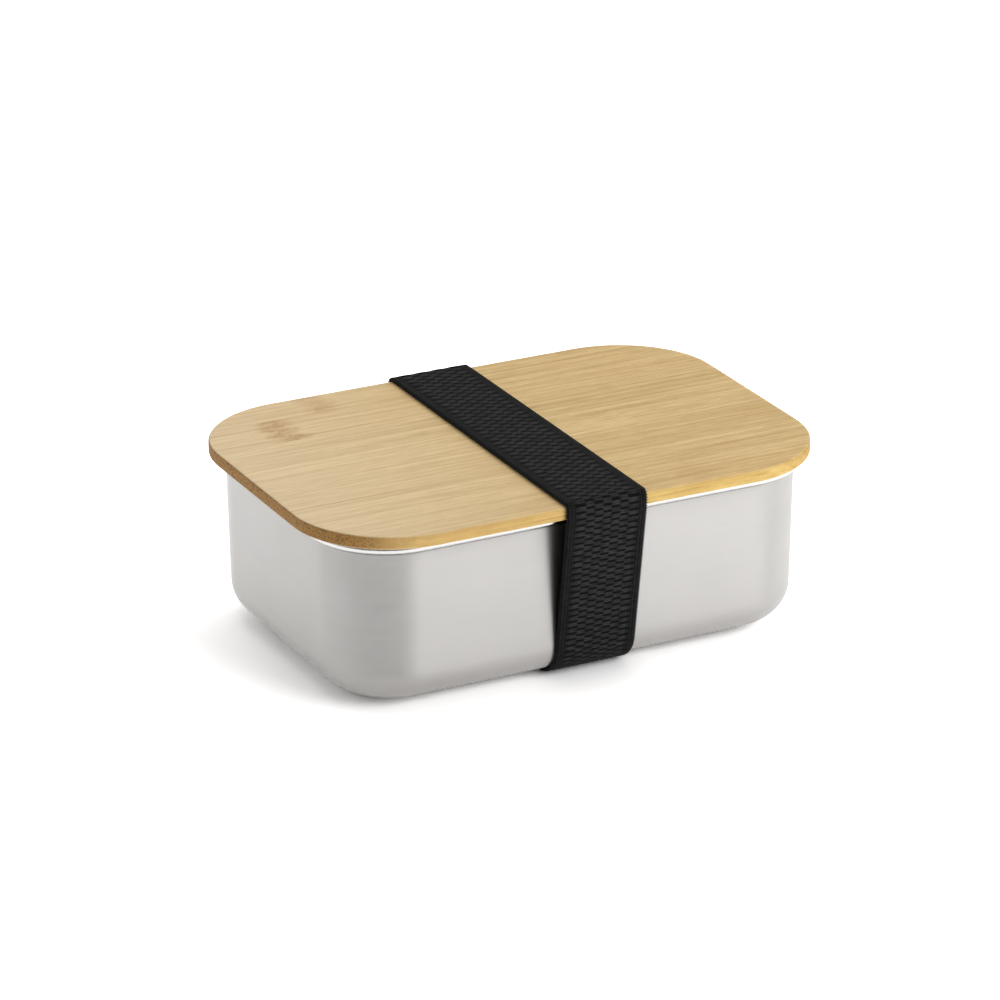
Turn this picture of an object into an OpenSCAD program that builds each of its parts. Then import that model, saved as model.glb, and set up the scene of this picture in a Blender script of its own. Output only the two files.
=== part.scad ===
// Bento lunch box: a deep-drawn steel tray, a laminated bamboo lid with a silicone
// seal, and a sewn loop of elastic webbing that holds the two together.
// Millimetres. X runs along the box, Y across it from front to back, and Z up. The
// origin is on the surface that the box stands on, under the middle of the lid.

/* [Lid] */
// Length of the lid, which is the longest part of the box
lid_length = 190; // [180:1:200]
// Width of the lid
lid_width = 132.4; // [126:0.2:138]
// Plan radius of the lid's corners
lid_corner_r = 35.8; // [32:0.2:38]
// Thickness of the upper ply, which is the edge that shows
top_ply = 4.6; // [4:0.1:6]
// Thickness of the lower ply, which plugs the tray
plug_ply = 4.4; // [4:0.1:6]
// Rounding of the plies' outer edges
arris_r = 0.8; // [0.7:0.1:1]
// Width of one bamboo strip
strip_w = 20; // [19:0.5:22]
// Gap between the plug's edge and the tray's wall
plug_gap = 1.2; // [1:0.1:1.5]

/* [Gasket] */
// Height of the silicone ring and its groove
gasket_h = 2.4; // [2:0.1:2.6]
// Depth of the groove in the plug's edge
gasket_depth = 1.5; // [1:0.1:2]
// Radius of each of the ring's two sealing lips
lip_r = 0.45; // [0.4:0.05:0.5]

/* [Tray] */
// Height of the tray, from its base to the top of its rim
tray_h = 59.4; // [50:0.2:65]
// Distance from the lid's edge in to the tray's wall, at the rim
wall_inset = 6.6; // [5.6:0.2:7.6]
// Plan radius of the tray's corners, at the rim
tray_corner_r = 26.2; // [24:0.2:30]
// Outer radius between the wall and the base
base_r = 12.7; // [8:0.1:14]
// How far the wall leans in, from the rim down to the base radius
wall_lean = 0.9; // [0.5:0.1:1.5]
// Thickness of the steel sheet
sheet_t = 0.5; // [0.4:0.1:0.8]
// Outer diameter of the rolled rim
curl_d = 3; // [2.6:0.1:3.4]

/* [Strap] */
// Width of the webbing, which narrows a little from its free width as it is stretched
strap_w = 29.4; // [20:0.2:40]
// Thickness of the webbing
strap_t = 1.3; // [1:0.1:2]
// Distance of the strap's middle from the middle of the box
strap_x = 1.8; // [-20:0.1:20]
// Inner radius of the strap's bends over the lid's edges
strap_bend_r = 1; // [0.8:0.1:1.2]
// Length of the lap where the loop is sewn
seam_len = 12; // [11:1:16]

/* [Hidden] */
$fn = 96;

// Clearances
lift_gap = 0.3;     // between pieces that part as the lid lifts
strap_gap = 0.2;    // webbing to what it passes over
groove_gap = 0.05;  // silicone ring to its groove

// Levels, from the ground up
tray_z = strap_t + strap_gap;
rim_z = tray_z + tray_h;
lid_z = rim_z + lift_gap;
plug_z = lid_z - plug_ply;
lid_top_z = lid_z + top_ply;
curl_z = rim_z - curl_d / 2;
gasket_z = plug_z + plug_ply / 2;

// Corner centres in plan
lid_cx = lid_length / 2 - lid_corner_r;
lid_cy = lid_width / 2 - lid_corner_r;
tray_cx = lid_length / 2 - wall_inset - tray_corner_r;
tray_cy = lid_width / 2 - wall_inset - tray_corner_r;

// Tray section: distances from a corner's centre, outwards
base_cr = tray_corner_r - wall_lean - base_r;   // centre of the base radius
base_cz = tray_z + base_r;
plug_r = tray_corner_r - sheet_t - plug_gap;

// Strap section, behind the box: it leans from the lid's edge in to the base radius
strap_in_y = lid_width / 2 + strap_gap;
wrap_r = base_r + strap_gap;
wrap_cy = tray_cy + base_cr;
wrap_reach = norm([strap_in_y - wrap_cy, lid_z - base_cz]);
lean = atan2(lid_z - base_cz, strap_in_y - wrap_cy) - acos(wrap_r / wrap_reach);
run_len = sqrt(pow(wrap_reach, 2) - pow(wrap_r, 2));

// Seam: a box of stitches through the lap, low on the leaning back run
seam_at = 2;
stitch_len = 2.2;
stitch_d = 0.4;
stitch_pitch = 3;
stitch_margin = 2.2;

// ---- helpers ----

// Sweeps an edge profile round a rectangle with round corners, whose corner centres
// are at +-cx and +-cy. The profile's X is the distance out from a corner's centre.
module swept(cx, cy) {
    for (flip_x = [0, 1], flip_y = [0, 1])
        mirror([flip_x, 0, 0]) mirror([0, flip_y, 0])
            translate([cx, cy, 0]) rotate_extrude(angle = 90) children();
    for (flip = [0, 1]) {
        mirror([flip, 0, 0]) translate([cx, cy, 0])
            rotate([90, 0, 0]) linear_extrude(2 * cy) children();
        mirror([0, flip, 0]) translate([-cx, cy, 0])
            rotate([90, 0, 90]) linear_extrude(2 * cx) children();
    }
}

// The flat middle between the corner centres, from z up to z + h
module core(cx, cy, z, h) {
    translate([-cx, -cy, z]) cube([2 * cx, 2 * cy, h]);
}

// Edge profile of a ply from z up to z + h, reaching out to r, with rounded edges
module ply_profile(r, z, h) {
    translate([0, z]) square([r - arris_r, h]);
    translate([0, z + arris_r]) square([r, h - 2 * arris_r]);
    for (edge_z = [z + arris_r, z + h - arris_r])
        translate([r - arris_r, edge_z]) circle(arris_r);
}

// Keeps what lies between two values of Y
module between(y0, y1) {
    intersection() {
        children();
        translate([-lid_length, y0, 0]) cube([2 * lid_length, y1 - y0, 2 * lid_top_z]);
    }
}

// ---- tray ----

// The sheet's section: floor, base radius, leaning wall and the rim rolled outwards
module tray_profile() {
    translate([0, tray_z]) square([base_cr, sheet_t]);
    translate([base_cr, base_cz]) intersection() {
        difference() {
            circle(base_r);
            circle(base_r - sheet_t);
        }
        translate([0, -base_r]) square(base_r);
    }
    polygon([
        [base_cr + base_r, base_cz],
        [tray_corner_r, curl_z],
        [tray_corner_r - sheet_t, curl_z],
        [base_cr + base_r - sheet_t, base_cz]
    ]);
    translate([tray_corner_r - sheet_t + curl_d / 2, curl_z]) difference() {
        circle(d = curl_d);
        circle(d = curl_d - 2 * sheet_t);
        polygon([[0, 0], [-curl_d, 0], [-curl_d, -curl_d * tan(60)]]);
    }
}

module tray() {
    color([0.80, 0.79, 0.77]) {
        swept(tray_cx, tray_cy) tray_profile();
        core(tray_cx, tray_cy, tray_z, sheet_t);
    }
}

// ---- lid ----

module top_board() {
    swept(lid_cx, lid_cy) ply_profile(lid_corner_r, lid_z, top_ply);
    core(lid_cx, lid_cy, lid_z, top_ply);
}

module plug_profile() {
    difference() {
        ply_profile(plug_r, plug_z, plug_ply);
        translate([plug_r - gasket_depth, gasket_z - gasket_h / 2])
            square([2 * gasket_depth, gasket_h]);
    }
}

module plug_board() {
    swept(tray_cx, tray_cy) plug_profile();
    core(tray_cx, tray_cy, plug_z, plug_ply);
}

// Strip n of the upper ply, from the front: 1 to 7, with a strip on the centre line.
// The outer two strips take what is left of the board.
module lid_top_strip(n) {
    y0 = n == 1 ? -lid_width : (n - 4.5) * strip_w;
    y1 = n == 7 ? lid_width : (n - 3.5) * strip_w;
    color([0.84 + 0.02 * (n % 3), 0.71 + 0.02 * (n % 2), 0.50])
        between(y0, y1) top_board();
}

// Strip n of the lower ply, from the front: 1 to 6, with a joint on the centre line
module lid_plug_strip(n) {
    y0 = n == 1 ? -lid_width : (n - 4) * strip_w;
    y1 = n == 6 ? lid_width : (n - 3) * strip_w;
    color([0.82 + 0.02 * (n % 2), 0.70, 0.49])
        between(y0, y1) plug_board();
}

// A ring with two rounded lips, which bear on the tray's wall
module lid_gasket() {
    base_h = gasket_h - 2 * groove_gap;
    lip_out = plug_gap - lift_gap - lip_r;
    color([0.90, 0.90, 0.87])
        swept(tray_cx, tray_cy) {
            translate([plug_r - gasket_depth + groove_gap, gasket_z - base_h / 2])
                square([gasket_depth - groove_gap, base_h]);
            for (side = [-1, 1])
                translate([plug_r, gasket_z + side * (base_h / 2 - lip_r)]) {
                    translate([-lip_r, -lip_r]) square([lip_out + lip_r, 2 * lip_r]);
                    translate([lip_out, 0]) circle(lip_r);
                }
        }
}

// ---- strap ----

// Extrudes a section drawn in Y and Z across the width of the webbing
module webbing() {
    color([0.13, 0.13, 0.13])
        translate([strap_x - strap_w / 2, 0, 0])
            rotate([90, 0, 90]) linear_extrude(strap_w) children();
}

// Both halves of a section that is the same in front and behind
module both_sides() {
    for (flip = [0, 1]) mirror([flip, 0]) children();
}

// Ring sector from angle a0 up to a1, both between -90 and 90 degrees
module ring_sector(r, a0, a1) {
    far = 3 * (r + strap_t);
    intersection() {
        difference() {
            circle(r + strap_t);
            circle(r);
        }
        polygon([[0, 0], far * [cos(a0), sin(a0)], far * [1, tan((a0 + a1) / 2)],
                 far * [cos(a1), sin(a1)]]);
    }
}

// Places its children on the leaning run behind the box: Z along the run from the
// base radius upwards, Y out from the run's inner face
module on_lean() {
    translate([strap_x, wrap_cy, base_cz]) rotate([lean, 0, 0])
        translate([0, wrap_r, 0]) children();
}

// Over the lid and down past its edges
module strap_top_run() {
    bend_y = strap_in_y - strap_bend_r;
    bend_z = lid_top_z + strap_gap - strap_bend_r;
    webbing() both_sides() {
        translate([0, lid_top_z + strap_gap]) square([bend_y, strap_t]);
        translate([bend_y, bend_z]) ring_sector(strap_bend_r, 0, 90);
        translate([strap_in_y, lid_z]) square([strap_t, bend_z - lid_z]);
        translate([strap_in_y, lid_z]) intersection() {
            circle(strap_t);
            polygon([[0, 0], 3 * strap_t * [1, tan(lean)], 3 * strap_t * [1, 0]]);
        }
    }
}

// Under the tray and up round its base radii
module strap_bottom_run() {
    webbing() both_sides() {
        square([wrap_cy, strap_t]);
        translate([wrap_cy, base_cz]) ring_sector(wrap_r, -90, lean);
    }
}

module leaning_run() {
    color([0.13, 0.13, 0.13])
        on_lean() translate([-strap_w / 2, 0, 0])
            cube([strap_w, strap_t, run_len - lift_gap]);
}

module strap_front_run() {
    mirror([0, 1, 0]) leaning_run();
}

module strap_back_run() {
    leaning_run();
}

// The end of the webbing that laps over the back run
module strap_seam_lap() {
    color([0.13, 0.13, 0.13])
        on_lean() translate([-strap_w / 2, strap_t, seam_at])
            cube([strap_w, strap_t, seam_len]);
}

// One stitch lying on a face of the webbing, along X or, turned, along the run
module stitch(x, z, turned) {
    translate([x, 0, z]) rotate([0, turned ? 0 : 90, 0])
        cylinder(d = stitch_d, h = stitch_len, center = true);
}

// Stitches round the lap, on its outer face and on the inner face of the run
module seam_stitching() {
    half_x = strap_w / 2 - stitch_margin;
    z0 = seam_at + stitch_margin;
    z1 = seam_at + seam_len - stitch_margin;
    across = floor(2 * half_x / stitch_pitch);
    along = floor((z1 - z0) / stitch_pitch) - 1;
    color([0.18, 0.18, 0.18])
        for (face_y = [2 * strap_t + stitch_d / 2, -stitch_d / 2])
            on_lean() translate([0, face_y, 0]) {
                for (i = [0 : across - 1], z = [z0, z1])
                    stitch((i - (across - 1) / 2) * stitch_pitch, z, false);
                for (i = [0 : along - 1], x = [-half_x, half_x])
                    stitch(x, (z0 + z1) / 2 + (i - (along - 1) / 2) * stitch_pitch, true);
            }
}

tray();
lid_top_strip(1);  // lid_top_strip_1
lid_top_strip(2);  // lid_top_strip_2
lid_top_strip(3);  // lid_top_strip_3
lid_top_strip(4);  // lid_top_strip_4
lid_top_strip(5);  // lid_top_strip_5
lid_top_strip(6);  // lid_top_strip_6
lid_top_strip(7);  // lid_top_strip_7
lid_plug_strip(1);  // lid_plug_strip_1
lid_plug_strip(2);  // lid_plug_strip_2
lid_plug_strip(3);  // lid_plug_strip_3
lid_plug_strip(4);  // lid_plug_strip_4
lid_plug_strip(5);  // lid_plug_strip_5
lid_plug_strip(6);  // lid_plug_strip_6
lid_gasket();
strap_top_run();
strap_front_run();
strap_bottom_run();
strap_back_run();
strap_seam_lap();
seam_stitching();
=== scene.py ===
import math

import bmesh
import bpy
import numpy as np
from mathutils import Matrix, Vector


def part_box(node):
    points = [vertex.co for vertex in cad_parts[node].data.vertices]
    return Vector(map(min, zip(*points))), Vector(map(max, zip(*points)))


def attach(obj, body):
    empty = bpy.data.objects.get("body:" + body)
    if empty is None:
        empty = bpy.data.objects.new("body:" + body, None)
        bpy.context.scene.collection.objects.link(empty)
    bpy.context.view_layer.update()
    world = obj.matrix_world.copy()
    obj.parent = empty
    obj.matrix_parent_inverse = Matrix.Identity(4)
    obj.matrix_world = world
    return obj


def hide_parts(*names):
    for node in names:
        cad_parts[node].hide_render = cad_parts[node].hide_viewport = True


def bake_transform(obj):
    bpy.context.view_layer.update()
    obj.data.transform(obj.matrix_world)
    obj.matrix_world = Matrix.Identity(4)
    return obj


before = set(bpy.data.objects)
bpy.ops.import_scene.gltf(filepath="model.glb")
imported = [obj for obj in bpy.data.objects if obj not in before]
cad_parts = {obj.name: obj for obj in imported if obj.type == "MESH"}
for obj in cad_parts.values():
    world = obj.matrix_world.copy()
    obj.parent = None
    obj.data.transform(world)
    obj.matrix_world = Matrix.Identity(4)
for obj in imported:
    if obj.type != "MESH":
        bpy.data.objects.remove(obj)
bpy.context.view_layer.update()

# A steel lunch box with a bamboo lid, held shut by an elastic strap. Everything is in
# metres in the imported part's frame: X along the box, Y to its back, Z up. The boxes of
# the CAD nodes give the places, and the radii here are what those boxes don't show.
MM = 0.001
LID_CORNER_R = 35.8 * MM
ARRIS_R = 0.8 * MM
TRAY_CORNER_R = 26.2 * MM
BASE_R = 12.7 * MM
WALL_LEAN = 0.9 * MM
SHEET_T = 0.5 * MM
CURL_R = 1.5 * MM
GROOVE_GAP = 0.05 * MM
GROOVE_H = 2.4 * MM
GROOVE_DEPTH = 1.5 * MM
LIP_R = 0.45 * MM
NECK_OUT = 0.1 * MM
STRAP_GAP = 0.2 * MM
STRAP_BEND_R = 1.0 * MM

CORNER_STEPS = 24
FLAT_EDGE = 2 * MM   # a flat ring inside each flat face keeps its shading flat

# The studio: overexposed white paper, a bright band of wall low down all round with a dark
# gap in it, and soft boxes
FLOOR_HALF = 9
PAPER = 1.72                        # its reflectance, above 1 so that it burns out
FAR_GLOW = 0.5                      # how brightly the paper glows far away
FAR_REACH = (0.6, 1.6)              # how far out that glow starts, and where it is full
GAP_WAY = (-0.6, -0.8, 0.0)
GAP_SPAN = (0.33, 0.97)             # how nearly a direction points at the gap, from its rim to its middle
GAP_LEFT = 0.03                     # the share of the light that is left in the gap
BAND_SPAN = (0.15, 0.75)            # the heights between which the band fades
BAND_RADIANCE = (0.97, 0.27)        # low down, and overhead
# Name, place, width, height and power of each soft box
SOFT_BOXES = (
    ("overhead", (0.1, 0.25, 1.0), 1.0, 0.9, 5.15),
    ("right_front", (0.58, -0.95, 0.68), 0.9, 0.8, 8.3),
    ("right", (0.9, -0.1, 0.4), 0.6, 0.5, 1.2),
    ("left_back", (-0.3, 0.85, 0.3), 1.1, 0.5, 1.7),
)

# The camera: its azimuth, elevation and roll in degrees, and where it is from the middle of
# the lid's top, back along its view, across it and up
CAMERA_TURN = (-26.85, 22.06, -0.235)
CAMERA_SHIFT = (1.6632, -0.00316, -0.02178)
LENS_MM = 176.1
SENSOR_MM = 36


# ---- meshes ----

def new_object(name, vertices, faces, sharp_degrees=35):
    """A smooth-shaded mesh object whose edges stay sharp past an angle."""
    mesh = bpy.data.meshes.new(name)
    mesh.from_pydata(vertices, [], faces)
    mesh.validate()
    return dress(name, mesh, sharp_degrees)


def dress(name, mesh, sharp_degrees):
    """Turns the mesh's faces outwards, shades it and puts it in the scene."""
    shell = bmesh.new()
    shell.from_mesh(mesh)
    bmesh.ops.recalc_face_normals(shell, faces=shell.faces)
    shell.to_mesh(mesh)
    shell.free()
    mesh.shade_smooth()
    mesh.set_sharp_from_angle(angle=math.radians(sharp_degrees))
    made = bpy.data.objects.new(name, mesh)
    bpy.context.scene.collection.objects.link(made)
    return made


def arc(centre, radius, start, end, steps):
    """Points round an arc in a section, from one angle in degrees to another."""
    return [
        (centre[0] + radius * math.cos(math.radians(a)), centre[1] + radius * math.sin(math.radians(a)))
        for a in np.linspace(start, end, steps + 1)
    ]


def line(start, end, steps):
    """Points along a line in a section, without its first and last."""
    return [tuple(p) for p in np.linspace(start, end, steps + 1)[1:-1]]


def swept(profile, cx, cy, closed=False):
    """Vertices and faces of a section carried round a rectangle with round corners.

    The section's points are (distance out from a corner's centre, height). An open
    section ends on a flat face at each end, and a closed one is a ring.
    """
    vertices, faces = [], []
    for quarter, (sx, sy) in enumerate(((1, 1), (-1, 1), (-1, -1), (1, -1))):
        for i in range(CORNER_STEPS + 1):
            angle = math.radians(90 * (quarter + i / CORNER_STEPS))
            for out, height in profile:
                x = sx * cx + out * math.cos(angle)
                y = sy * cy + out * math.sin(angle)
                vertices.append((x, y, height))
    rings, count = 4 * (CORNER_STEPS + 1), len(profile)
    spans = count if closed else count - 1
    for ring in range(rings):
        a, b = ring * count, (ring + 1) % rings * count
        for i in range(spans):
            j = (i + 1) % count
            faces.append((a + i, b + i, b + j, a + j))
    if not closed:
        faces.append([ring * count for ring in range(rings)])
        faces.append([ring * count + count - 1 for ring in range(rings)])
    return vertices, faces


def finish_piece(piece, body, slot, material, *nodes):
    """The calls that every rigid piece needs: its looks, its body and the nodes it stands for."""
    piece.data.materials.append(material)
    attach(piece, body)
    if nodes:
        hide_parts(*nodes)
    return piece


# ---- materials ----

def linear(red, green, blue):
    """A display colour, 0 to 255, as the shader's own numbers."""
    channels = [c / 255 for c in (red, green, blue)]
    return (*[c / 12.92 if c <= 0.04045 else ((c + 0.055) / 1.055) ** 2.4 for c in channels], 1.0)


class Graph:
    """The nodes of a material or world, and short ways to add to them."""

    def __init__(self, owner, shader):
        owner.use_nodes = True
        self.owner = owner
        self.tree = owner.node_tree
        self.shader = self.tree.nodes[shader]
        self.coordinates = self.node("TexCoord").outputs
        self.place = self.coordinates["Object"]

    def node(self, kind, inputs=None, **settings):
        made = self.tree.nodes.new("ShaderNode" + kind)
        for key, value in settings.items():
            setattr(made, key, value)
        for key, value in (inputs or {}).items():
            self.feed(made.inputs[key], value)
        return made

    def feed(self, socket, value):
        if isinstance(value, bpy.types.NodeSocket):
            self.tree.links.new(value, socket)
        else:
            socket.default_value = value

    def maths(self, operation, *values, clamp=False):
        inputs = dict(enumerate(values))
        return self.node("Math", inputs, operation=operation, use_clamp=clamp).outputs[0]

    def scaled(self, vector, scale, shift=(0, 0, 0)):
        inputs = {"Vector": vector, "Scale": scale, "Location": shift}
        return self.node("Mapping", inputs).outputs[0]

    def noise(self, vector, detail=2.0, roughness=0.5):
        inputs = {"Vector": vector, "Scale": 1.0, "Detail": detail, "Roughness": roughness}
        return self.node("TexNoise", inputs).outputs[0]

    def span(self, value, low, high, to_low=0.0, to_high=1.0):
        """A value's way from low to high, smoothly, as a number from to_low to to_high."""
        inputs = {
            "Value": value, "From Min": low, "From Max": high, "To Min": to_low, "To Max": to_high}
        return self.node("MapRange", inputs, interpolation_type="SMOOTHSTEP").outputs[0]

    def mix(self, share, first, second, blend="MIX"):
        made = self.node("Mix", data_type="RGBA", blend_type=blend)
        for index, value in ((0, share), (6, first), (7, second)):
            self.feed(made.inputs[index], value)
        return made.outputs[2]

    def parts(self, vector):
        return self.node("SeparateXYZ", {"Vector": vector}).outputs

    def bump(self, height, strength, distance):
        inputs = {"Height": height, "Strength": strength, "Distance": distance}
        self.feed(self.shader.inputs["Normal"], self.node("Bump", inputs).outputs[0])


def new_material(name, **constants):
    """A material's graph, with these numbers and colours set on its Principled shader."""
    g = Graph(bpy.data.materials.new(name), "Principled BSDF")
    for socket, value in constants.items():
        g.shader.inputs[socket.replace("_", " ")].default_value = value
    return g


def cane_mark(g, colour, x, shift, at, strength):
    """The colour with the brown flecks of a cane node over it, near one place along X."""
    wander = g.noise(g.scaled(g.place, (0, 260, 0), shift), 2)
    off = g.maths("SUBTRACT", g.maths("MULTIPLY_ADD", wander, 14 * MM, x), at + 7 * MM)
    near = g.span(g.maths("ABSOLUTE", off), 8.5 * MM, 1 * MM, 0, strength)
    fleck = g.noise(g.scaled(g.place, (420, 900, 900), shift), 3, 0.7)
    mark = g.maths("MULTIPLY", near, g.span(fleck, 0.36, 0.66, 0.25, 0.75))
    return g.mix(mark, colour, linear(158, 108, 50))


def bamboo_edges(g, colour, x, shift):
    """The colour with its upright edges tinted darker and warmer as painted shade, less so to the right
    as painted light, with pores on its ends, and how far a face is an end.
    """
    facing = g.parts(g.coordinates["Normal"])
    upright = g.span(g.maths("ABSOLUTE", facing[2]), 0.8, 0.3)
    # The photo's light also makes the edge paler to the right, and its end grain fainter there
    painted_edge_light_and_shade = g.mix(g.span(x, -50 * MM, 25 * MM), linear(230, 216, 168), linear(252, 250, 212))
    colour = g.mix(upright, colour, painted_edge_light_and_shade, "MULTIPLY")
    end = g.span(g.maths("ABSOLUTE", facing[0]), 0.2, 0.75)
    pores = g.node("TexVoronoi", {"Vector": g.scaled(g.place, (1250, 1250, 1250), shift), "Scale": 1.0})
    pore = g.span(pores.outputs[0], 0.5, 0.15)
    ends = g.mix(pore, linear(143, 102, 47), linear(62, 40, 18))
    # The end grain is painted fainter to the right, as painted light
    end_share = g.maths("MULTIPLY", end, g.span(x, 0, 60 * MM, 0.9, 0.4))
    return g.mix(end_share, colour, ends), end


def bamboo(name, tone, shift, seams, cane_nodes=()):
    """Flat-pressed bamboo: fibres along X, pores on the ends, glue at the seams, brown cane nodes.

    Each of cane_nodes is where one lies along X and how strongly it shows.
    """
    g = new_material(name, IOR=1.46)
    x, y, _ = g.parts(g.place)
    fine = g.noise(g.scaled(g.place, (130, 700, 700), shift), 4, 0.75)
    fibres = g.noise(g.scaled(g.place, (15, 640, 640), [s + 3 for s in shift]), 3, 0.7)
    bundles = g.noise(g.scaled(g.place, (6, 150, 150), shift), 1)
    grain = g.maths("ADD", g.maths("MULTIPLY", fine, 0.35), g.maths("MULTIPLY", fibres, 0.5))
    grain = g.maths("ADD", grain, g.maths("MULTIPLY", bundles, 0.15))
    dark = [tone[0] * 0.91, tone[1] * 0.88, tone[2] * 0.8]
    pale = [tone[0] * 1.06, tone[1] * 1.07, tone[2] * 1.12]
    colour = g.mix(g.span(grain, 0.36, 0.64), linear(*pale), linear(*dark))
    # Paler to the left, as the photo's light makes it
    colour = g.mix(g.span(x, 40 * MM, -110 * MM, 0, 0.42), colour, linear(226, 208, 178))
    veins = g.noise(g.scaled(g.place, (9, 700, 700), [s + 7 for s in shift]), 2)
    colour = g.mix(g.span(veins, 0.58, 0.72, 0, 0.45), colour, linear(166, 122, 66))

    for at, strength in cane_nodes:
        colour = cane_mark(g, colour, x, shift, at, strength)
    for at in seams:
        apart = g.maths("ABSOLUTE", g.maths("SUBTRACT", y, at))
        colour = g.mix(g.span(apart, 0.3 * MM, 0.02 * MM, 0, 0.3), colour, linear(150, 110, 62))

    colour, end = bamboo_edges(g, colour, x, shift)

    g.feed(g.shader.inputs["Base Color"], colour)
    rough = g.span(grain, 0.3, 0.7, 0.42, 0.56)
    g.feed(g.shader.inputs["Roughness"], g.maths("MULTIPLY_ADD", end, 0.35, rough))
    g.bump(g.maths("ADD", fine, g.maths("MULTIPLY", veins, 0.6)), 0.35, 0.12 * MM)
    return g.owner


def satin_steel():
    """Stainless sheet brushed round its walls, with a polished rim painted lighter as a painted
    highlight, and a painted shade line under it.

    The brushing smears what the sheet mirrors up and down and keeps it sharp sideways.
    """
    g = new_material("satin_steel", Metallic=1.0, Anisotropic=0.8, Anisotropic_Rotation=0.25)
    brushing = g.noise(g.scaled(g.place, (30, 30, 2600)), 3)
    cloud = g.noise(g.scaled(g.place, (45, 45, 45)), 2)
    height = g.parts(g.place)[2]
    rim_low = TRAY_HIGH.z - 2 * CURL_R
    # The rim is polished, and also painted lighter than the walls as a painted highlight
    rim = g.span(height, rim_low - 0.1 * MM, rim_low + 0.3 * MM)
    # A painted shade line darkens the wall just under the bead, where shade falls in the crease
    under = g.maths("ABSOLUTE", g.maths("SUBTRACT", height, rim_low - 0.35 * MM))
    shade = g.span(under, 0.75 * MM, 0.2 * MM, 0, 0.85)
    # Darker than real stainless steel, to make up for the overexposed paper
    satin = g.mix(cloud, linear(177, 175, 173), linear(172, 170, 168))
    satin = g.mix(shade, satin, linear(104, 103, 102))
    g.feed(g.shader.inputs["Base Color"], g.mix(rim, satin, linear(204, 203, 202)))
    rough = g.span(brushing, 0.25, 0.75, 0.44, 0.5)
    g.feed(g.shader.inputs["Roughness"], g.maths("MULTIPLY", rough, g.span(rim, 0, 1, 1, 0.45)))
    g.feed(g.shader.inputs["Tangent"], g.node("Tangent", direction_type="RADIAL", axis="Z").outputs[0])
    g.bump(brushing, 0.12, 0.04 * MM)
    return g.owner


def silicone():
    """Milky silicone rubber."""
    g = new_material("silicone", IOR=1.42, Subsurface_Weight=0.25, Subsurface_Scale=0.002)
    dust = g.noise(g.scaled(g.place, (900, 900, 900)), 3)
    g.feed(g.shader.inputs["Base Color"], g.mix(dust, linear(232, 231, 224), linear(222, 221, 213)))
    g.feed(g.shader.inputs["Roughness"], g.span(dust, 0.3, 0.7, 0.38, 0.5))
    g.bump(dust, 0.2, 0.05 * MM)
    return g.owner


def elastic_webbing():
    """Black rib-woven elastic: fine lengthwise yarns over the shape of the weave, with painted shade in
    its hollows and painted highlights on its crests and border ribs.
    """
    g = new_material("elastic_webbing", IOR=1.45, Specular_IOR_Level=0.06, Roughness=0.75)
    cloth = g.node("Attribute", attribute_name="cloth").outputs["Vector"]
    across, along, height = g.parts(cloth)
    yarn = g.maths("SINE", g.maths("MULTIPLY", across, 2 * math.pi / YARN_PITCH))
    pick = g.maths("SINE", g.maths("MULTIPLY", along, 2 * math.pi * PICKS_PER_FLOAT))
    fuzz = g.noise(g.scaled(cloth, (2600, 7, 0)), 3, 0.75)
    uneven = g.noise(g.scaled(cloth, (320, 1, 0)), 1)
    # The weave's crests are painted lighter and its hollows darker, as painted highlight and painted
    # shade, varied at random float by float
    raised = g.maths("MULTIPLY", g.span(height, 0.45, 0.95), g.span(uneven, 0.3, 0.7, 0.5, 1.0))
    strand = g.span(fuzz, 0.35, 0.65, 0.4, 1.35)
    tone = g.maths("MULTIPLY", g.maths("ADD", g.maths("MULTIPLY", raised, 0.92), 0.06), strand)
    border = g.span(g.maths("ABSOLUTE", across), WOVEN_HALF, WOVEN_HALF + 0.2 * MM)
    # The border's ribs are painted in stripes of painted highlight and painted shade
    rib = g.maths("COSINE", g.maths("MULTIPLY", across, 2 * math.pi / RIB_PITCH))
    tone = g.maths("MULTIPLY", tone, g.maths("MULTIPLY_ADD", g.maths("MULTIPLY", rib, border), 0.55, 1))
    g.feed(g.shader.inputs["Base Color"], g.mix(tone, linear(4, 4, 4), linear(53, 53, 53)))
    g.feed(g.shader.inputs["Roughness"], g.span(fuzz, 0.3, 0.7, 0.65, 0.85))
    relief = g.maths("ADD", g.maths("MULTIPLY", yarn, 0.5), g.maths("MULTIPLY", pick, 0.25))
    g.bump(g.maths("ADD", relief, fuzz), 0.5, 0.07 * MM)
    return g.owner


def sewing_thread():
    """Twisted black polyester thread."""
    g = new_material("sewing_thread", IOR=1.5, Sheen_Weight=0.2)
    twist = g.noise(g.scaled(g.place, (5200, 5200, 5200)), 2)
    g.feed(g.shader.inputs["Base Color"], g.mix(twist, linear(30, 30, 31), linear(62, 62, 63)))
    g.feed(g.shader.inputs["Roughness"], g.span(twist, 0.3, 0.7, 0.4, 0.6))
    g.bump(twist, 0.4, 0.06 * MM)
    return g.owner


# ---- tray ----

TRAY_LOW, TRAY_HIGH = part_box("tray")
CURL_OUT = TRAY_CORNER_R - SHEET_T + CURL_R
TRAY_CX = TRAY_HIGH.x - CURL_OUT - CURL_R
TRAY_CY = TRAY_HIGH.y - CURL_OUT - CURL_R
BASE_CENTRE = (TRAY_CORNER_R - WALL_LEAN - BASE_R, TRAY_LOW.z + BASE_R)


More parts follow.
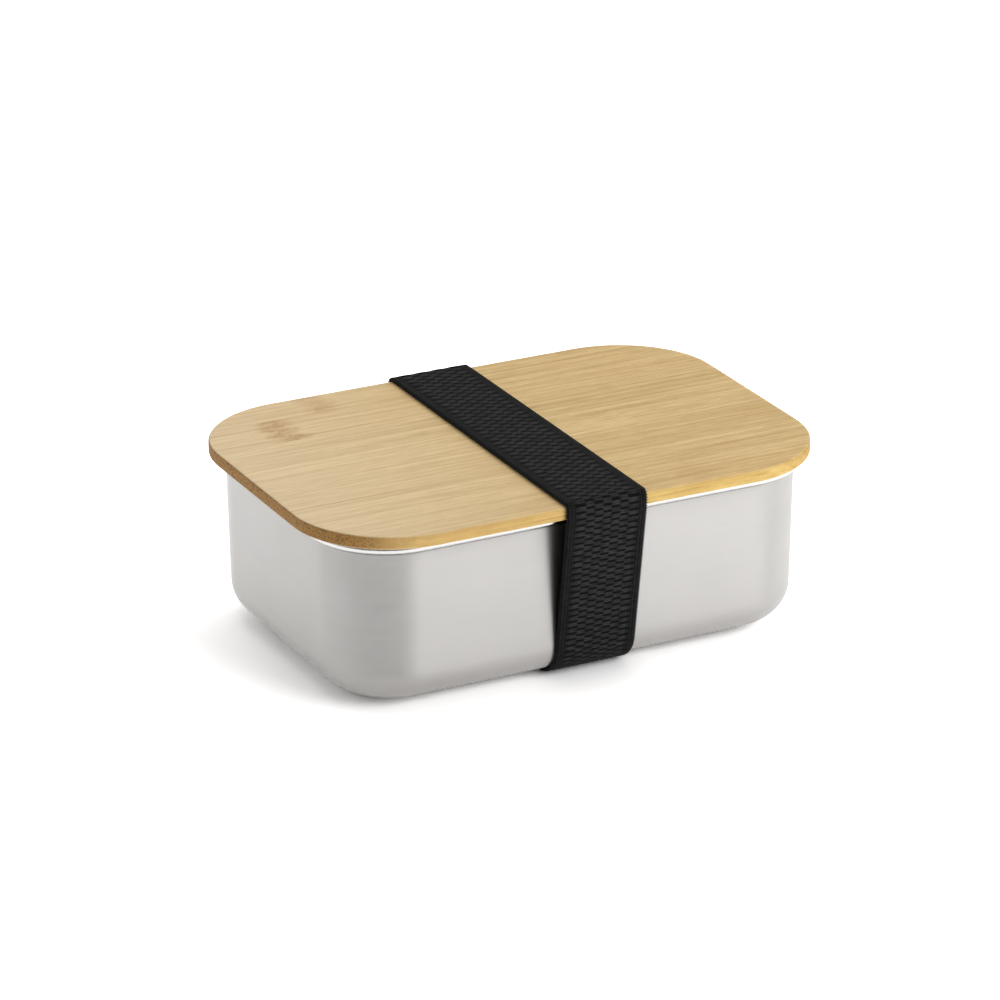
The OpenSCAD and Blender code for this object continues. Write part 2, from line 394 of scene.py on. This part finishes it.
def tray_profile():
    """The sheet's section, up the inside, over the rolled rim and down the outside."""
    curl = (CURL_OUT, TRAY_HIGH.z - CURL_R)
    floor_edge = BASE_CENTRE[0] - FLAT_EDGE
    inside = arc(BASE_CENTRE, BASE_R - SHEET_T, -90, 0, 18)
    rolled = arc(curl, CURL_R, 180, -140, 30)
    under = arc(curl, CURL_R - SHEET_T, -140, 180, 24)
    outside = arc(BASE_CENTRE, BASE_R, 0, -90, 18)
    return (
        [(floor_edge, TRAY_LOW.z + SHEET_T)] + inside + line(inside[-1], rolled[0], 5) + rolled
        + under + line(under[-1], outside[0], 5) + outside + [(floor_edge, TRAY_LOW.z)]
    )


def make_tray():
    tray = new_object("tray_shell", *swept(tray_profile(), TRAY_CX, TRAY_CY))
    finish_piece(tray, "tray", "steel", satin_steel(), "tray")


# ---- lid ----

def ply_profile(reach, low, high, groove=None):
    """Half of a ply's section, from its top to its underside, with rounded edges."""
    edge = reach - ARRIS_R
    side = []
    if groove:
        back = reach - GROOVE_DEPTH
        side = [(reach, groove[1]), (back, groove[1]), (back, groove[0]), (reach, groove[0])]
    return (
        [(edge - FLAT_EDGE, high)] + arc((edge, high - ARRIS_R), ARRIS_R, 90, 0, 6) + side
        + arc((edge, low + ARRIS_R), ARRIS_R, 0, -90, 6) + [(edge - FLAT_EDGE, low)]
    )


def cut_strip(board, name, low_y, high_y):
    """The part of a board between two values of Y, closed where it is cut."""
    strip = bmesh.new()
    strip.from_mesh(board)
    for y, side in ((low_y, -1), (high_y, 1)):
        every = strip.verts[:] + strip.edges[:] + strip.faces[:]
        cut = bmesh.ops.bisect_plane(
            strip, geom=every, plane_co=(0, y, 0), plane_no=(0, side, 0), clear_outer=True)
        rim = [e for e in cut["geom_cut"] if isinstance(e, bmesh.types.BMEdge)]
        if rim:
            bmesh.ops.contextual_create(strip, geom=rim)
    mesh = bpy.data.meshes.new(name)
    strip.to_mesh(mesh)
    strip.free()
    return dress(name, mesh, 35)


def make_ply(kind, count, profile, cx, cy, tones, cane_nodes):
    """One ply of the lid as its glued strips, each in place of its CAD node."""
    vertices, faces = swept(profile, cx, cy)
    board = bpy.data.meshes.new(kind)
    board.from_pydata(vertices, [], faces)
    for n in range(1, count + 1):
        node = f"lid_{kind}_strip_{n}"
        low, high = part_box(node)
        seams = [low.y] * (n > 1) + [high.y] * (n < count)
        # The first and the last strip reach past the board, so that they are cut on one side only
        strip = cut_strip(board, f"bamboo_{kind}_{n}", low.y - (n == 1), high.y + (n == count))
        shift = (1.7 * n, 3.1 * n + len(kind), 0.9 * n)
        material = bamboo(f"bamboo_{kind}_{n}", tones[n - 1], shift, seams, cane_nodes.get(n, ()))
        finish_piece(strip, "lid", "bamboo", material, node)
    bpy.data.meshes.remove(board)


def make_lid():
    low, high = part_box("lid_top_strip_4")
    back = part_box("lid_top_strip_7")[1].y
    top_tones = [
        (198, 167, 107), (201, 171, 112), (197, 166, 107), (202, 172, 114),
        (198, 168, 109), (201, 170, 111), (199, 168, 108)]
    top_cane_nodes = {6: [(-67 * MM, 1.0)], 7: [(-45 * MM, 0.6)], 1: [(40 * MM, 0.25)]}
    profile = ply_profile(LID_CORNER_R, low.z, high.z)
    cx, cy = high.x - LID_CORNER_R, back - LID_CORNER_R
    make_ply("top", 7, profile, cx, cy, top_tones, top_cane_nodes)

    low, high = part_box("lid_plug_strip_3")
    reach = high.x - TRAY_CX
    middle = (low.z + high.z) / 2
    groove = (middle - GROOVE_H / 2, middle + GROOVE_H / 2)
    profile = ply_profile(reach, low.z, high.z, groove)
    plug_tones = [(214, 187, 142), (219, 191, 148), (211, 184, 139)] * 2
    plug_cane_nodes = {2: [(30 * MM, 0.8)], 5: [(-50 * MM, 0.6)]}
    make_ply("plug", 6, profile, TRAY_CX, TRAY_CY, plug_tones, plug_cane_nodes)
    make_gasket(reach)


def make_gasket(reach):
    """The silicone ring in the plug's groove, with two lips towards the tray's wall."""
    low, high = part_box("lid_gasket")
    lip_out = high.x - TRAY_CX - LIP_R
    back = reach - GROOVE_DEPTH + GROOVE_GAP
    neck = reach + NECK_OUT
    profile = (
        [(back, low.z)] + arc((lip_out, low.z + LIP_R), LIP_R, -90, 90, 10)
        + [(neck, low.z + 2 * LIP_R), (neck, high.z - 2 * LIP_R)]
        + arc((lip_out, high.z - LIP_R), LIP_R, -90, 90, 10) + [(back, high.z)]
    )
    ring = new_object("silicone_ring", *swept(profile, TRAY_CX, TRAY_CY, closed=True))
    finish_piece(ring, "lid", "silicone", silicone(), "lid_gasket")


# ---- strap ----

STRAP_LOW, STRAP_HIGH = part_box("strap_bottom_run")
STRAP_X = (STRAP_LOW.x + STRAP_HIGH.x) / 2
STRAP_HALF = (STRAP_HIGH.x - STRAP_LOW.x) / 2
STRAP_T = TRAY_LOW.z - STRAP_GAP
PATH_STEP = 0.05 * MM

# Behind the box, in Y and Z: the turn round the base, then a run that leans to the lid's edge
LID_LOW, LID_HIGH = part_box("lid_top_strip_7")
WRAP = np.array((TRAY_CY + BASE_CENTRE[0], BASE_CENTRE[1]))
WRAP_R = BASE_R + STRAP_GAP
LID_EDGE = np.array((LID_HIGH.y + STRAP_GAP, LID_LOW.z))
REACH = np.linalg.norm(LID_EDGE - WRAP)
LEAN = math.atan2(LID_EDGE[1] - WRAP[1], LID_EDGE[0] - WRAP[0]) - math.acos(WRAP_R / REACH)
RUN_OUT = np.array((math.cos(LEAN), math.sin(LEAN)))
RUN_UP = np.array((-math.sin(LEAN), math.cos(LEAN)))
RUN_START = WRAP + WRAP_R * RUN_OUT

# The weave: columns of raised floats, each half a float out of step with the next. Each float
# has a dip across its middle, between its two strands
COLUMNS = 7
COLUMN_PITCH = 3.15 * MM
WOVEN_HALF = COLUMNS * COLUMN_PITCH / 2
FLOAT_REACH = (2.1 * MM, 0.41)      # half a float: across in metres, along in floats
STRAND_GROOVE = (0.26, 0.22)        # the dip's depth, and its reach as a share of half a float
RELIEF = 0.22 * MM
TOP_PITCH = 3.7 * MM                # the webbing is pulled longer over the lid
SIDE_PITCH = 2.32 * MM
OVER_LID = 0.7                      # how far up the webbing faces where the longer pitch is
PITCH_BLEND = 60                    # path steps over which one pitch turns into the other
ROWS_PER_FLOAT = 8
YARN_PITCH = 0.42 * MM
PICKS_PER_FLOAT = 5
COLUMN_STEPS = 6
RIB_PITCH = 1.15 * MM
TEETH_PER_FLOAT = 3
BORDER_STEPS = 4
LOOP_PITCH = 0.96 * MM
LOOP_RADII = (0.5 * MM, 0.65 * MM, 0.26 * MM)    # through the webbing, across it and along it
LOOP_SINK = 0.05 * MM
# This height paints the loops light like the weave's crests, a painted highlight
LOOP_CLOTH_HEIGHT = 0.85            # the tone of the loops, as a height in the weave

STITCH_MARGIN = 2.2 * MM
STITCH_PITCH = 3 * MM
STITCH_RADII = (1.2 * MM, 0.24 * MM, 0.32 * MM)  # along the thread, across it and off the webbing


def strap_path():
    """The strap's inner face as dense points in Y and Z, with the way out at each.

    It starts under the middle of the tray and goes round by the back, the top and the front.
    """
    lean = math.degrees(LEAN)
    # The middle of the bend over the lid's edge
    bend = (LID_EDGE[0] - STRAP_BEND_R, LID_HIGH.z + STRAP_GAP - STRAP_BEND_R)
    # Each turn is (centre, radius, first angle, last angle), and straight lines join them
    back = [
        (np.array((0, STRAP_T)), 0, -90, -90),
        (WRAP, WRAP_R, -90, lean),
        (LID_EDGE, 0, lean, 0),
        (np.array(bend), STRAP_BEND_R, 0, 90),
    ]
    front = [
        (centre * (-1, 1), radius, 180 - last, 180 - first)
        for centre, radius, first, last in back[::-1]
    ]
    points, ways = [], []
    for centre, radius, first, last in back + front:
        steps = 1 + int(math.radians(last - first) * (radius + STRAP_T / 2) / PATH_STEP)
        angles = np.radians(np.linspace(first, last, steps + 1))
        out = np.stack([np.cos(angles), np.sin(angles)], 1)
        turn = centre + radius * out
        if points:
            gap = np.linalg.norm(turn[0] - points[-1])
            between = np.linspace(points[-1], turn[0], int(gap / PATH_STEP) + 2)[1:-1]
            points += list(between)
            ways += [out[0]] * len(between)
        points += list(turn)
        ways += list(out)
    return np.array(points), np.array(ways)


def stations():
    """Points and ways out at equal shares of a float round the strap, and the floats before each."""
    points, ways = strap_path()
    face = points + ways * STRAP_T
    steps = np.linalg.norm(np.diff(face, axis=0, append=face[:1]), axis=1)
    pitch = np.where(ways[:, 1] > OVER_LID, TOP_PITCH, SIDE_PITCH)
    wrapped = np.concatenate([pitch[-PITCH_BLEND:], pitch, pitch[:PITCH_BLEND]])
    share = np.ones(2 * PITCH_BLEND + 1) / (2 * PITCH_BLEND + 1)
    floats = np.concatenate([[0], np.cumsum(steps / np.convolve(wrapped, share, "valid"))])
    total = round(floats[-1])
    wanted = np.arange(total * ROWS_PER_FLOAT) / ROWS_PER_FLOAT
    index = np.interp(wanted, floats * total / floats[-1], np.arange(len(floats)))
    whole = np.arange(len(points) + 1)
    at = np.stack([np.interp(index, whole, np.append(points[:, k], points[0, k])) for k in (0, 1)], 1)
    out = np.stack([np.interp(index, whole, np.append(ways[:, k], ways[0, k])) for k in (0, 1)], 1)
    return at, out / np.linalg.norm(out, axis=1, keepdims=True), wanted


def weave(across, floats):
    """How far the weave stands up, from 0 to 1, at distances across and at floats along."""
    raised = np.zeros(np.broadcast(across, floats).shape)
    for column in range(COLUMNS):
        off = across - (column - (COLUMNS - 1) / 2) * COLUMN_PITCH
        along = ((floats + 0.5 * (column % 2)) % 1 - 0.5) / FLOAT_REACH[1]
        dome = np.maximum(1 - (off / FLOAT_REACH[0]) ** 4 - np.abs(along) ** 3, 0)
        dip = STRAND_GROOVE[0] * np.exp(-(along / STRAND_GROOVE[1]) ** 2)
        raised = np.maximum(raised, np.sqrt(dome) * (1 - dip))
    border = np.abs(across) - WOVEN_HALF
    teeth = 0.62 + 0.1 * np.cos(2 * math.pi * TEETH_PER_FLOAT * floats)
    return np.where(border > 0, np.maximum(teeth, raised), raised)


def webbing_section():
    """How far across each point of the webbing's section is, and how deep below its outer face."""
    woven = np.linspace(-WOVEN_HALF, WOVEN_HALF, COLUMNS * COLUMN_STEPS + 1)
    border = np.linspace(WOVEN_HALF, STRAP_HALF - 0.2 * MM, BORDER_STEPS + 1)[1:]
    face = np.concatenate([-border[::-1], woven, border])
    side = [(STRAP_HALF, 0.4 * MM), (STRAP_HALF, STRAP_T - 0.3 * MM), (STRAP_HALF - 0.3 * MM, STRAP_T)]
    across = [*face, *[out for out, _ in side], 0, *[-out for out, _ in side[::-1]]]
    depth = [0] * len(face) + [deep for _, deep in side] + [STRAP_T] + [deep for _, deep in side[::-1]]
    return np.array(across), np.array(depth), len(face)


def webbing(name, at, out, floats, lift, closed):
    """A length of webbing along stations in Y and Z, lifted off them, with its weave raised.

    Its attribute "cloth" holds the distance across, the floats along and the weave's height.
    """
    across, depth, face = webbing_section()
    rise = np.zeros((len(at), len(across)))
    rise[:, :face] = weave(across[None, :face], floats[:, None])
    sunk = RELIEF * (1 - rise)
    sunk[:, face:] = 0
    level = lift + STRAP_T - depth[None, :] - sunk
    yz = at[:, None, :] + out[:, None, :] * level[:, :, None]
    x = np.broadcast_to(STRAP_X + across, rise.shape)
    vertices = np.concatenate([x[:, :, None], yz], 2).reshape(-1, 3)
    rows, count = rise.shape
    faces = []
    for row in range(rows if closed else rows - 1):
        a, b = row * count, (row + 1) % rows * count
        faces += [(a + i, a + (i + 1) % count, b + (i + 1) % count, b + i) for i in range(count)]
    if not closed:
        faces += [list(range(count)), list(range((rows - 1) * count, rows * count))]
    made = new_object(name, vertices.tolist(), faces, 60)
    store_cloth(made, np.stack(np.broadcast_arrays(across, floats[:, None], rise), 2))
    return made


def store_cloth(piece, values):
    cloth = piece.data.attributes.new("cloth", "FLOAT_VECTOR", "POINT")
    cloth.data.foreach_set("vector", np.asarray(values, np.float32).ravel())


def beads(name, centres, ways, radii, rings=4, sides=7):
    """Many small rounded beads in one mesh.

    ways holds the three directions of each bead, in the same order as radii.
    """
    polar, turn = np.meshgrid(
        math.pi * np.arange(1, rings) / rings, 2 * math.pi * np.arange(sides) / sides, indexing="ij")
    band = np.stack([np.cos(polar), np.sin(polar) * np.cos(turn), np.sin(polar) * np.sin(turn)], 2)
    shape = np.concatenate([band.reshape(-1, 3), [(1, 0, 0), (-1, 0, 0)]])
    first, last = len(shape) - 2, len(shape) - 1
    quads = []
    for j in range(sides):
        k = (j + 1) % sides
        for ring in range(0, (rings - 2) * sides, sides):
            quads.append((ring + j, ring + k, ring + sides + k, ring + sides + j))
        quads += [(first, k, j), ((rings - 2) * sides + j, (rings - 2) * sides + k, last)]
    vertices = centres[:, None, :] + np.einsum("sk,nkd->nsd", shape * radii, ways)
    faces = [tuple(v + n * len(shape) for v in quad) for n in range(len(centres)) for quad in quads]
    return new_object(name, vertices.reshape(-1, 3).tolist(), faces, 180)


def edge_loops(at, out):
    """The little weft loops along both edges of the webbing."""
    middle = at + out * STRAP_T / 2
    length = np.concatenate([[0], np.cumsum(np.linalg.norm(np.diff(middle, axis=0), axis=1))])
    spots = np.arange(0, length[-1], LOOP_PITCH)
    y, z, out_y, out_z = [np.interp(spots, length, v) for v in (*middle.T, *out.T)]
    zero, one = np.zeros(len(spots)), np.ones(len(spots))
    ways = np.stack([(zero, out_y, out_z), (one, zero, zero), (zero, -out_z, out_y)]).transpose(2, 0, 1)
    reach = STRAP_HALF - LOOP_SINK
    centres = [np.stack([one * (STRAP_X + side * reach), y, z], 1) for side in (-1, 1)]
    made = beads("strap_edge_loops", np.concatenate(centres), np.tile(ways, (2, 1, 1)), LOOP_RADII)
    store_cloth(made, np.tile((0, 0, LOOP_CLOTH_HEIGHT), len(made.data.vertices)))
    return made


def make_seam(cloth):
    """The lap on the back run where the loop's ends are sewn, and its stitches."""
    low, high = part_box("strap_seam_lap")
    # The lap's lowest corner is on its outer face, and its highest on its inner one
    start = (low.z - (RUN_START + 2 * STRAP_T * RUN_OUT)[1]) / RUN_UP[1]
    end = (high.z - (RUN_START + STRAP_T * RUN_OUT)[1]) / RUN_UP[1]
    share = np.linspace(0, 1, int((end - start) / SIDE_PITCH * ROWS_PER_FLOAT) + 1)
    along = start + (end - start) * share
    at = RUN_START + RUN_UP * along[:, None]
    out = np.tile(RUN_OUT, (len(at), 1))
    floats = (along - start) / SIDE_PITCH
    lap = webbing("strap_lap", at, out, floats, STRAP_T, False)
    finish_piece(lap, "strap", "webbing", cloth, "strap_seam_lap")
    make_stitches(start, end)


def make_stitches(start, end):
    """The box of stitches in the lap, which goes from start to end up the back run."""
    rows = (start + STITCH_MARGIN, end - STITCH_MARGIN)
    spots = [(i * STITCH_PITCH, row, False) for i in np.arange(-3.5, 4) for row in rows]
    for side in (-1, 1):
        edge = side * (STRAP_HALF - STITCH_MARGIN)
        spots += [(edge, sum(rows) / 2 + i * STITCH_PITCH, True) for i in (-0.8, 0.8)]
    centres, ways = [], []
    for level in (2 * STRAP_T, 0):
        for across, along, turned in spots:
            centres.append((STRAP_X + across, *(RUN_START + RUN_UP * along + RUN_OUT * level)))
            way = ((1, 0, 0), (0, *RUN_UP), (0, *RUN_OUT))
            ways.append((way[1], way[0], way[2]) if turned else way)
    thread = beads("seam_thread", np.array(centres), np.array(ways), STITCH_RADII, 8, 8)
    finish_piece(thread, "strap", "thread", sewing_thread(), "seam_stitching")


def make_strap():
    at, out, floats = stations()
    cloth = elastic_webbing()
    loop = webbing("elastic_strap", at, out, floats, 0, True)
    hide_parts("strap_top_run", "strap_front_run", "strap_bottom_run", "strap_back_run")
    for piece in (loop, edge_loops(at, out)):
        piece.data.materials.append(cloth)
        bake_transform(piece)
    make_seam(cloth)


# ---- stage ----

def make_floor():
    """White paper that burns out beyond the box's shadow, and glows where no soft box reaches."""
    vertices = [(x * FLOOR_HALF, y * FLOOR_HALF, 0) for x, y in ((-1, -1), (1, -1), (1, 1), (-1, 1))]
    floor = new_object("floor", vertices, [(0, 1, 2, 3)])
    g = new_material(
        "white_paper", Base_Color=(PAPER, PAPER, PAPER, 1), Roughness=0.95, Specular_IOR_Level=0.05,
        Emission_Color=(1, 1, 1, 1))
    away = g.node("VectorMath", {0: g.place}, operation="LENGTH").outputs["Value"]
    g.feed(g.shader.inputs["Emission Strength"], g.span(away, *FAR_REACH, 0, FAR_GLOW))
    floor.data.materials.append(g.owner)


def make_world():
    """A bright band low down, dimmer overhead, with a dark gap in it."""
    world = bpy.data.worlds.new("studio")
    bpy.context.scene.world = world
    g = Graph(world, "Background")
    way = g.coordinates["Generated"]
    inputs = {0: way, 1: Vector(GAP_WAY)}
    towards = g.node("VectorMath", inputs, operation="DOT_PRODUCT").outputs["Value"]
    band = g.span(g.parts(way)[2], *BAND_SPAN, *BAND_RADIANCE)
    gap = g.span(towards, *GAP_SPAN, 1, GAP_LEFT)
    g.feed(g.shader.inputs["Strength"], g.maths("MULTIPLY", band, gap))
    g.shader.inputs["Color"].default_value = (1, 1, 1, 1)


def make_lights():
    """Soft boxes, each turned to the middle of the box."""
    for name, place, width, height, watts in SOFT_BOXES:
        light = bpy.data.lights.new(name, "AREA")
        light.shape = "RECTANGLE"
        light.size, light.size_y = width, height
        light.energy = watts
        lamp = bpy.data.objects.new(name, light)
        lamp.location = place
        lamp.rotation_euler = Vector(place).to_track_quat("Z", "Y").to_euler()
        lamp.visible_camera = False
        bpy.context.scene.collection.objects.link(lamp)


def make_camera():
    """A long lens from the front left, a little above, as in the product view."""
    azimuth, elevation, roll = [math.radians(angle) for angle in CAMERA_TURN]
    distance, across, upwards = CAMERA_SHIFT
    flat = math.cos(elevation)
    back = Vector((math.sin(azimuth) * flat, -math.cos(azimuth) * flat, math.sin(elevation)))
    level = Vector((math.cos(azimuth), math.sin(azimuth), 0))
    upright = back.cross(level)
    right = level * math.cos(roll) + upright * math.sin(roll)
    up = upright * math.cos(roll) - level * math.sin(roll)
    data = bpy.data.cameras.new("camera")
    data.sensor_width, data.lens = SENSOR_MM, LENS_MM
    data.clip_start, data.clip_end = 0.1, 50
    camera = bpy.data.objects.new("camera", data)
    lid_top = Vector((0, 0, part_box("lid_top_strip_4")[1].z))
    place = lid_top + back * distance + right * across + up * upwards
    camera.matrix_world = Matrix((
        (right.x, up.x, back.x, place.x), (right.y, up.y, back.y, place.y),
        (right.z, up.z, back.z, place.z), (0, 0, 0, 1)))
    bpy.context.scene.collection.objects.link(camera)
    bpy.context.scene.camera = camera


make_tray()
make_lid()
make_strap()
make_floor()
make_world()
make_lights()
make_camera()
bpy.context.scene.view_settings.view_transform = "Standard"
